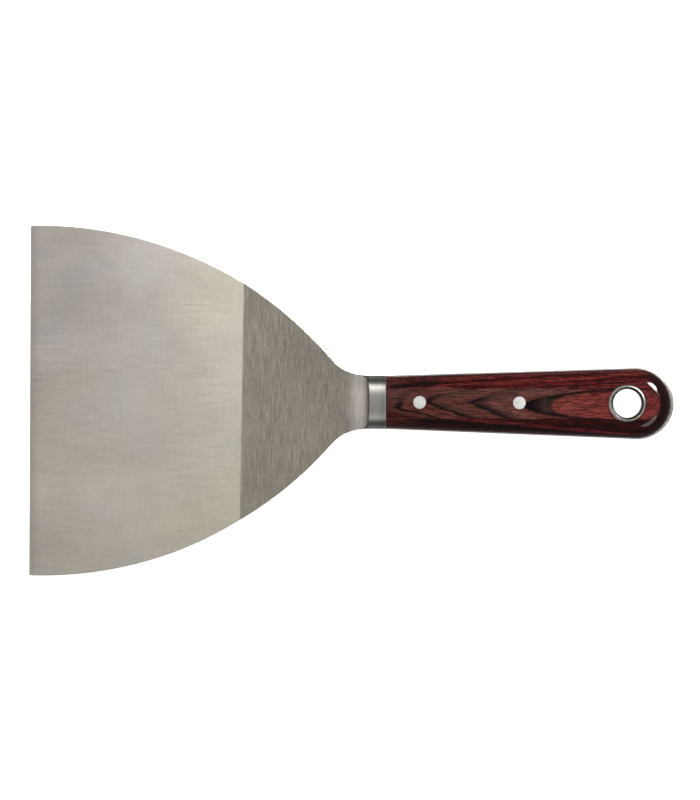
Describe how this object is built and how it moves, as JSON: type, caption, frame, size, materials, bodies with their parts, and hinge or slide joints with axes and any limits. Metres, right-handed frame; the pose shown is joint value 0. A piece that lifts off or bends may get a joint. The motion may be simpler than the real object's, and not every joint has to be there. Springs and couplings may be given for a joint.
{
  "type": "drywall taping knife",
  "caption": "Full-tang taping knife with a wide taper-ground steel blade, a ramped steel bolster, riveted laminated-wood scales and an eyeleted hanging hole.",
  "frame": {"origin": "centre of the hanging hole, in the middle plane of the blade", "axes": "+X along the knife from the working edge to the butt, +Y across the blade, +Z through it, out of the front face"},
  "size_m": [0.2803, 0.1524, 0.017],
  "materials": {
    "blade_steel": "fine grinding lines along the flexible part, coarser lines across the thick part",
    "bolster_steel": "linished, polished at the rounded sides",
    "pin_steel": "plain turned",
    "laminated_wood": "resin-laminated red and black veneers, high gloss",
    "rivet_aluminium": "ground flush, fine satin",
    "eyelet_nickel": "bright nickel"
  },
  "bodies": {
    "root": {"blade": "blade_steel", "bolster_front": "bolster_steel", "bolster_back": "bolster_steel", "bolster_pin_left": "pin_steel", "bolster_pin_right": "pin_steel", "scale_front": "laminated_wood", "scale_back": "laminated_wood", "fore_rivet_post": "rivet_aluminium", "fore_rivet_socket": "rivet_aluminium", "rear_rivet_post": "rivet_aluminium", "rear_rivet_socket": "rivet_aluminium", "hang_eyelet": "eyelet_nickel"}
  },
  "joints": []
}
